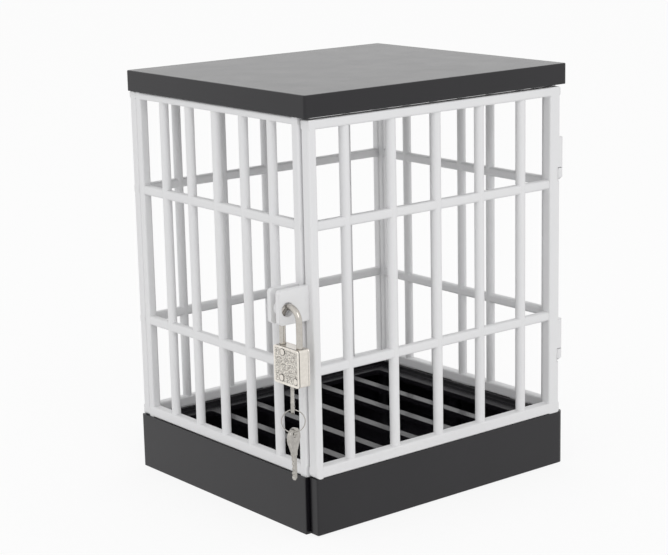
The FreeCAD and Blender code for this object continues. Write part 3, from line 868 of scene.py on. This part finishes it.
        tree.link(parts.outputs["Z"], above.inputs[0])
        domed = tree.add("GeometryNodeSetPosition")
        tree.link(head.outputs["Mesh"], domed.inputs["Geometry"])
        tree.link(above.outputs[0], domed.inputs["Selection"])
        tree.link(tree.vector(Z=rise), domed.inputs["Offset"])
        side = tree.vector_maths("SUBTRACT", place.outputs["Position"], middle).outputs["Vector"]
        outward = tree.vector_maths("MULTIPLY", side, (1 / MM, 0, 0)).outputs["Vector"]
        turn = tree.add("FunctionNodeAlignRotationToVector", axis="Z")
        tree.link(outward, turn.inputs["Vector"])
        heads = tree.add("GeometryNodeInstanceOnPoints")
        tree.link(tree.entry.outputs["Geometry"], heads.inputs["Points"])
        tree.link(domed.outputs["Geometry"], heads.inputs["Instance"])
        tree.link(turn.outputs["Rotation"], heads.inputs["Rotation"])
        piece = tree.make(heads.outputs["Instances"], self.wardrobe.material("nickel"), spots)
        piece.data.shade_smooth()
        piece.data.set_sharp_from_angle(angle=CREASE)
        self.fit(piece, "case_rivets")
        return piece

    def fit(self, piece: bpy.types.Object, node: str) -> None:
        """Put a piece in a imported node's place on the padlock's case.

        Args:
            piece: The piece.
            node: The node it stands for.
        """
        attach(piece, Body.PADLOCK_CASE.value)
        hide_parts(node)
        report(piece)

    def build(self, nodes: dict[str, bpy.types.Object]) -> None:
        """Dress the padlock's nodes and make its fine pieces.

        Args:
            nodes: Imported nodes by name.
        """
        self.wardrobe.dress(nodes, self.FINISHES)
        self.hammered_cover("case_outer_cover", -1)
        self.hammered_cover("case_inner_cover", 1)
        self.rivet_heads()


@dataclass
class Keys:
    """Key in the lock, split ring and spare key."""

    wardrobe: Wardrobe
    ring_radius: float = 4.85 * MM
    ring_wire: float = 0.4 * MM
    ring_turns: float = 1.9
    ring_rise: float = 1.9
    turn: float = -40.0
    FINISHES: ClassVar[dict[str, str]] = {
        "key_in_lock": "key_nickel",
        "key_ring": "key_nickel",
        "spare_key": "key_nickel",
    }

    def split_ring(self) -> bpy.types.Object:
        """Make the split ring of nearly two turns that stands for the plain ring.

        Returns:
            The ring, riding on the ring body.
        """
        low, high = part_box("key_ring")
        centre = (low + high) / 2
        tree = GeometryTree("split_key_ring")
        wire_radius = self.ring_wire / 2
        coil_height = wire_radius * self.ring_rise
        radius = tree.size("Ring Radius", self.ring_radius)
        rise = tree.size("Ring Rise", coil_height)
        thickness = tree.size("Wire Radius", wire_radius)
        coil = tree.add("GeometryNodeCurveSpiral", Resolution=96, Rotations=self.ring_turns)
        tree.link(radius, coil.inputs["Start Radius"])
        tree.link(radius, coil.inputs["End Radius"])
        tree.link(rise, coil.inputs["Height"])
        section = tree.add("GeometryNodeCurvePrimitiveCircle", Resolution=12)
        tree.link(thickness, section.inputs["Radius"])
        tube = tree.add("GeometryNodeCurveToMesh", Fill_Caps=True)
        tree.link(coil.outputs["Curve"], tube.inputs["Curve"])
        tree.link(section.outputs["Curve"], tube.inputs["Profile Curve"])
        settle = tree.add("GeometryNodeTransform", Translation=(0, 0, -coil_height / 2))
        tree.link(tube.outputs["Mesh"], settle.inputs["Geometry"])
        upright = tree.add(
            "GeometryNodeTransform", Translation=centre,
            Rotation=Euler((math.radians(90), 0, math.radians(self.turn))),
        )
        tree.link(settle.outputs["Geometry"], upright.inputs["Geometry"])
        ring = tree.make(upright.outputs["Geometry"], self.wardrobe.material("key_nickel"))
        ring.data.shade_smooth()
        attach(ring, Body.RING.value)
        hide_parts("key_ring")
        report(ring)
        return ring

    def build(self, nodes: dict[str, bpy.types.Object]) -> None:
        """Dress the keys' nodes and make the split ring.

        Args:
            nodes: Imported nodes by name.
        """
        self.wardrobe.dress(nodes, self.FINISHES)
        self.split_ring()


@dataclass(frozen=True)
class Lamp:
    """A soft square lamp: its place and side in metres, and its power in watts."""

    name: str
    place: Triple
    side: float
    power: float


@dataclass
class Studio:
    """Pale floor, white surroundings, soft lamps and the camera."""

    height: float = 0.185
    lens: float = 101.08
    sensor: float = 36
    azimuth: float = -38.6163
    elevation: float = 13.0677
    roll: float = -1.2536
    distance: float = 4.6124
    offset: tuple[float, float] = (-0.0373, -0.0195)
    floor_size: float = 12.0
    floor_colour: Colour = (0.93, 0.93, 0.93)
    floor_glow: float = 0.86
    ambient: float = 0.82
    lamps: tuple[Lamp, ...] = (
        Lamp("key_lamp", (-0.6, -1.6, 1.5), 1.2, 7),
        Lamp("side_lamp", (-1.6, 0.1, 0.9), 1.2, 0.8),
    )

    def surroundings(self) -> None:
        """Make the world: white where it is seen or mirrored, plain light elsewhere."""
        world = bpy.data.worlds.new("white_surroundings")
        bpy.context.scene.world = world
        world.use_nodes = True
        world.node_tree.nodes.clear()
        graph = NodeBuilder(world.node_tree)
        output = graph.add("ShaderNodeOutputWorld")
        seen = graph.add("ShaderNodeBackground", Color=(1, 1, 1, 1), Strength=1.0)
        light = graph.add("ShaderNodeBackground", Color=(1, 1, 1, 1), Strength=self.ambient)
        mix = graph.add("ShaderNodeMixShader")
        graph.link(graph.seen_rays(), mix.inputs[0])
        graph.link(light.outputs[0], mix.inputs[1])
        graph.link(seen.outputs[0], mix.inputs[2])
        graph.link(mix.outputs[0], output.inputs[0])

    def floor(self) -> None:
        """Make the pale floor, which keeps the box's shadow."""
        half = self.floor_size / 2
        mesh = bpy.data.meshes.new("floor")
        corners = [(-half, -half, 0), (half, -half, 0), (half, half, 0), (-half, half, 0)]
        mesh.from_pydata(corners, [], [(0, 1, 2, 3)])
        floor = bpy.data.objects.new("floor", mesh)
        bpy.context.scene.collection.objects.link(floor)
        graph = ShaderGraph("pale_floor")
        matt = graph.add("ShaderNodeBsdfDiffuse", Color=(*self.floor_colour, 1))
        glow = graph.add("ShaderNodeEmission", Strength=1.0)
        mix = graph.add("ShaderNodeMixShader")
        graph.link(graph.maths("MULTIPLY", graph.seen_rays(), self.floor_glow), mix.inputs[0])
        graph.link(matt.outputs[0], mix.inputs[1])
        graph.link(glow.outputs[0], mix.inputs[2])
        mesh.materials.append(graph.finish(mix.outputs[0]))

    def light(self, lamp: Lamp) -> None:
        """Hang a lamp that faces the box.

        Args:
            lamp: The lamp.
        """
        data = bpy.data.lights.new(lamp.name, "AREA")
        data.size = lamp.side
        data.energy = lamp.power
        hung = bpy.data.objects.new(lamp.name, data)
        hung.location = lamp.place
        aim = Vector((0, 0, self.height / 2)) - Vector(lamp.place)
        hung.rotation_euler = aim.to_track_quat("-Z", "Y").to_euler()
        bpy.context.scene.collection.objects.link(hung)

    def camera(self) -> None:
        """Place the camera at the photo's viewing angle."""
        az, el, roll = (math.radians(a) for a in (self.azimuth, self.elevation, self.roll))
        back = Vector((math.sin(az) * math.cos(el), -math.cos(az) * math.cos(el), math.sin(el)))
        right = Vector((math.cos(az), math.sin(az), 0))
        up = back.cross(right)
        turned_right = right * math.cos(roll) + up * math.sin(roll)
        turned_up = up * math.cos(roll) - right * math.sin(roll)
        place = back * self.distance + turned_right * self.offset[0] + turned_up * self.offset[1]
        place = place * self.height + Vector((0, 0, self.height / 2))
        data = bpy.data.cameras.new("camera")
        data.lens = self.lens
        data.sensor_width = self.sensor
        data.clip_start = 0.01
        data.clip_end = 100
        camera = bpy.data.objects.new("camera", data)
        columns = Matrix((turned_right, turned_up, back)).transposed()
        camera.matrix_world = Matrix.Translation(place) @ columns.to_4x4()
        bpy.context.scene.collection.objects.link(camera)
        bpy.context.scene.camera = camera

    def build(self) -> None:
        """Make the whole studio."""
        bpy.context.scene.view_settings.view_transform = "Standard"
        self.surroundings()
        self.floor()
        for lamp in self.lamps:
            self.light(lamp)
        self.camera()


def main() -> None:
    """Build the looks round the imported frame."""
    logging.basicConfig(level=logging.INFO, format="%(name)s: %(message)s")
    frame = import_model()
    Studio().build()
    wardrobe = Wardrobe()
    nodes = frame["nodes"]
    for part in (Cage, Door, Padlock, Keys):
        part(wardrobe).build(nodes)


if __name__ == "__main__":
    main()
